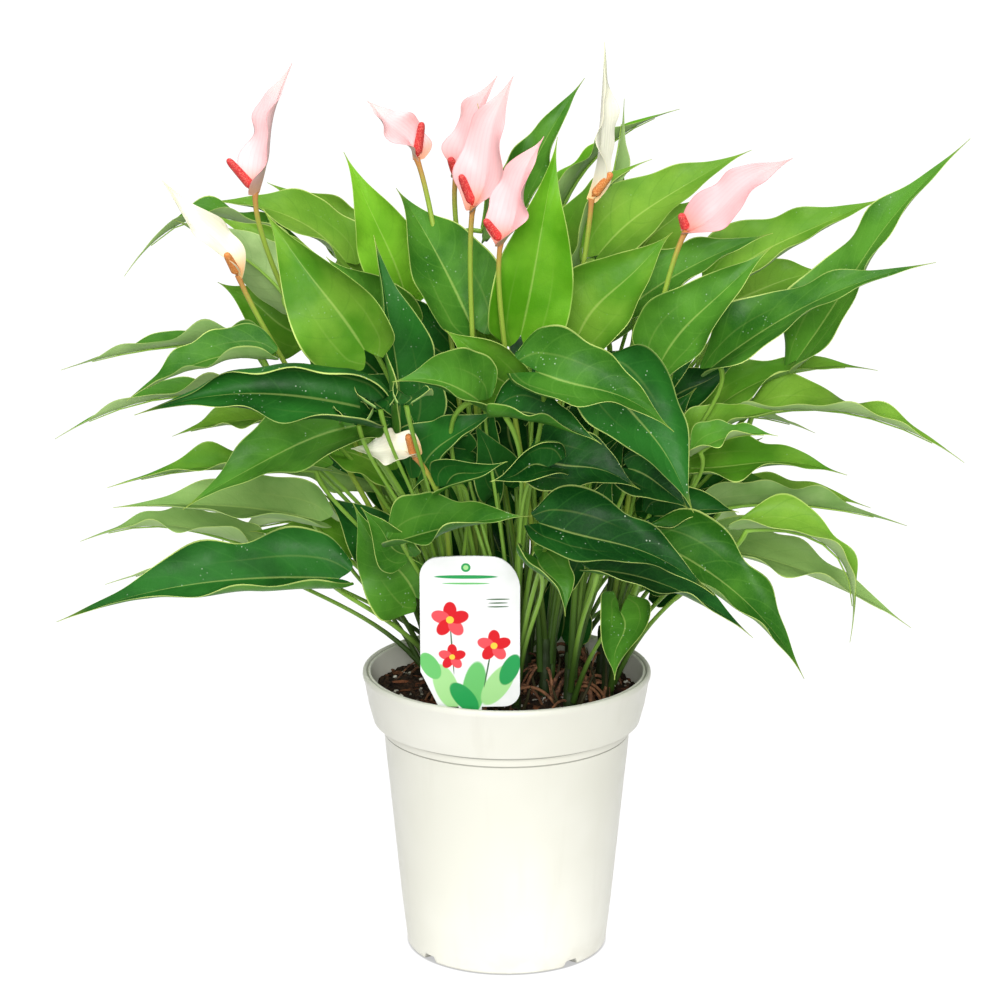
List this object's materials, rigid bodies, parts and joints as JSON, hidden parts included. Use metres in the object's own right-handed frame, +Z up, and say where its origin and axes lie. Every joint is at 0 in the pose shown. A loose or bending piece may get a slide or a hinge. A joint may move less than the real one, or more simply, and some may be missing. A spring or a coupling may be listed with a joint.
{
  "type": "potted anthurium",
  "caption": "Bushy house plant with heart-shaped leaves and small pink and cream blooms, in a tapered round plastic pot with a stick-in plant label.",
  "frame": {"origin": "centre of the pot's underside, on the surface it stands on", "axes": "+Z up, the front with the plant label looks along -Y, +X to the right as seen from the front"},
  "size_m": [0.4654, 0.3324, 0.472],
  "materials": {
    "pot": "satin ivory moulded plastic",
    "soil": "dark crumbly bark and peat mix with pale grains",
    "label": "glossy printed plastic card",
    "aerial_root": "dull brown root skin",
    "foliage": "glossy green leaf with pale margins and veins, on paler green stalks",
    "spathe_pink": "waxy pale pink",
    "spathe_cream": "waxy cream",
    "spadix_coral": "matte coral with fine bumps",
    "spadix_orange": "matte pale orange with fine bumps"
  },
  "bodies": {
    "root": {"pot": "pot", "soil": "soil", "label": "label", "aerial_roots": "aerial_root", "shoot_front_left": "foliage", "shoot_left": "foliage", "shoot_left_back": "foliage", "shoot_back_left": "foliage", "shoot_back_right": "foliage", "shoot_right": "foliage", "shoot_right_front": "foliage", "shoot_front_right": "foliage", "shoot_front": "foliage", "shoot_centre_left": "foliage", "shoot_centre_right": "foliage", "shoot_centre_back": "foliage", "spathe_left_high": "spathe_pink", "spadix_left_high": "spadix_coral", "spathe_left_cream": "spathe_cream", "spadix_left_cream": "spadix_orange", "spathe_middle_left": "spathe_pink", "spadix_middle_left": "spadix_coral", "spathe_middle_back": "spathe_pink", "spadix_middle_back": "spadix_coral", "spathe_middle_large": "spathe_pink", "spadix_middle_large": "spadix_coral", "spathe_middle_right": "spathe_pink", "spadix_middle_right": "spadix_coral", "spathe_tall_cream": "spathe_cream", "spadix_tall_cream": "spadix_orange", "spathe_right_pink": "spathe_pink", "spadix_right_pink": "spadix_coral", "spathe_left_low": "spathe_cream", "spadix_left_low": "spadix_coral"}
  },
  "joints": []
}
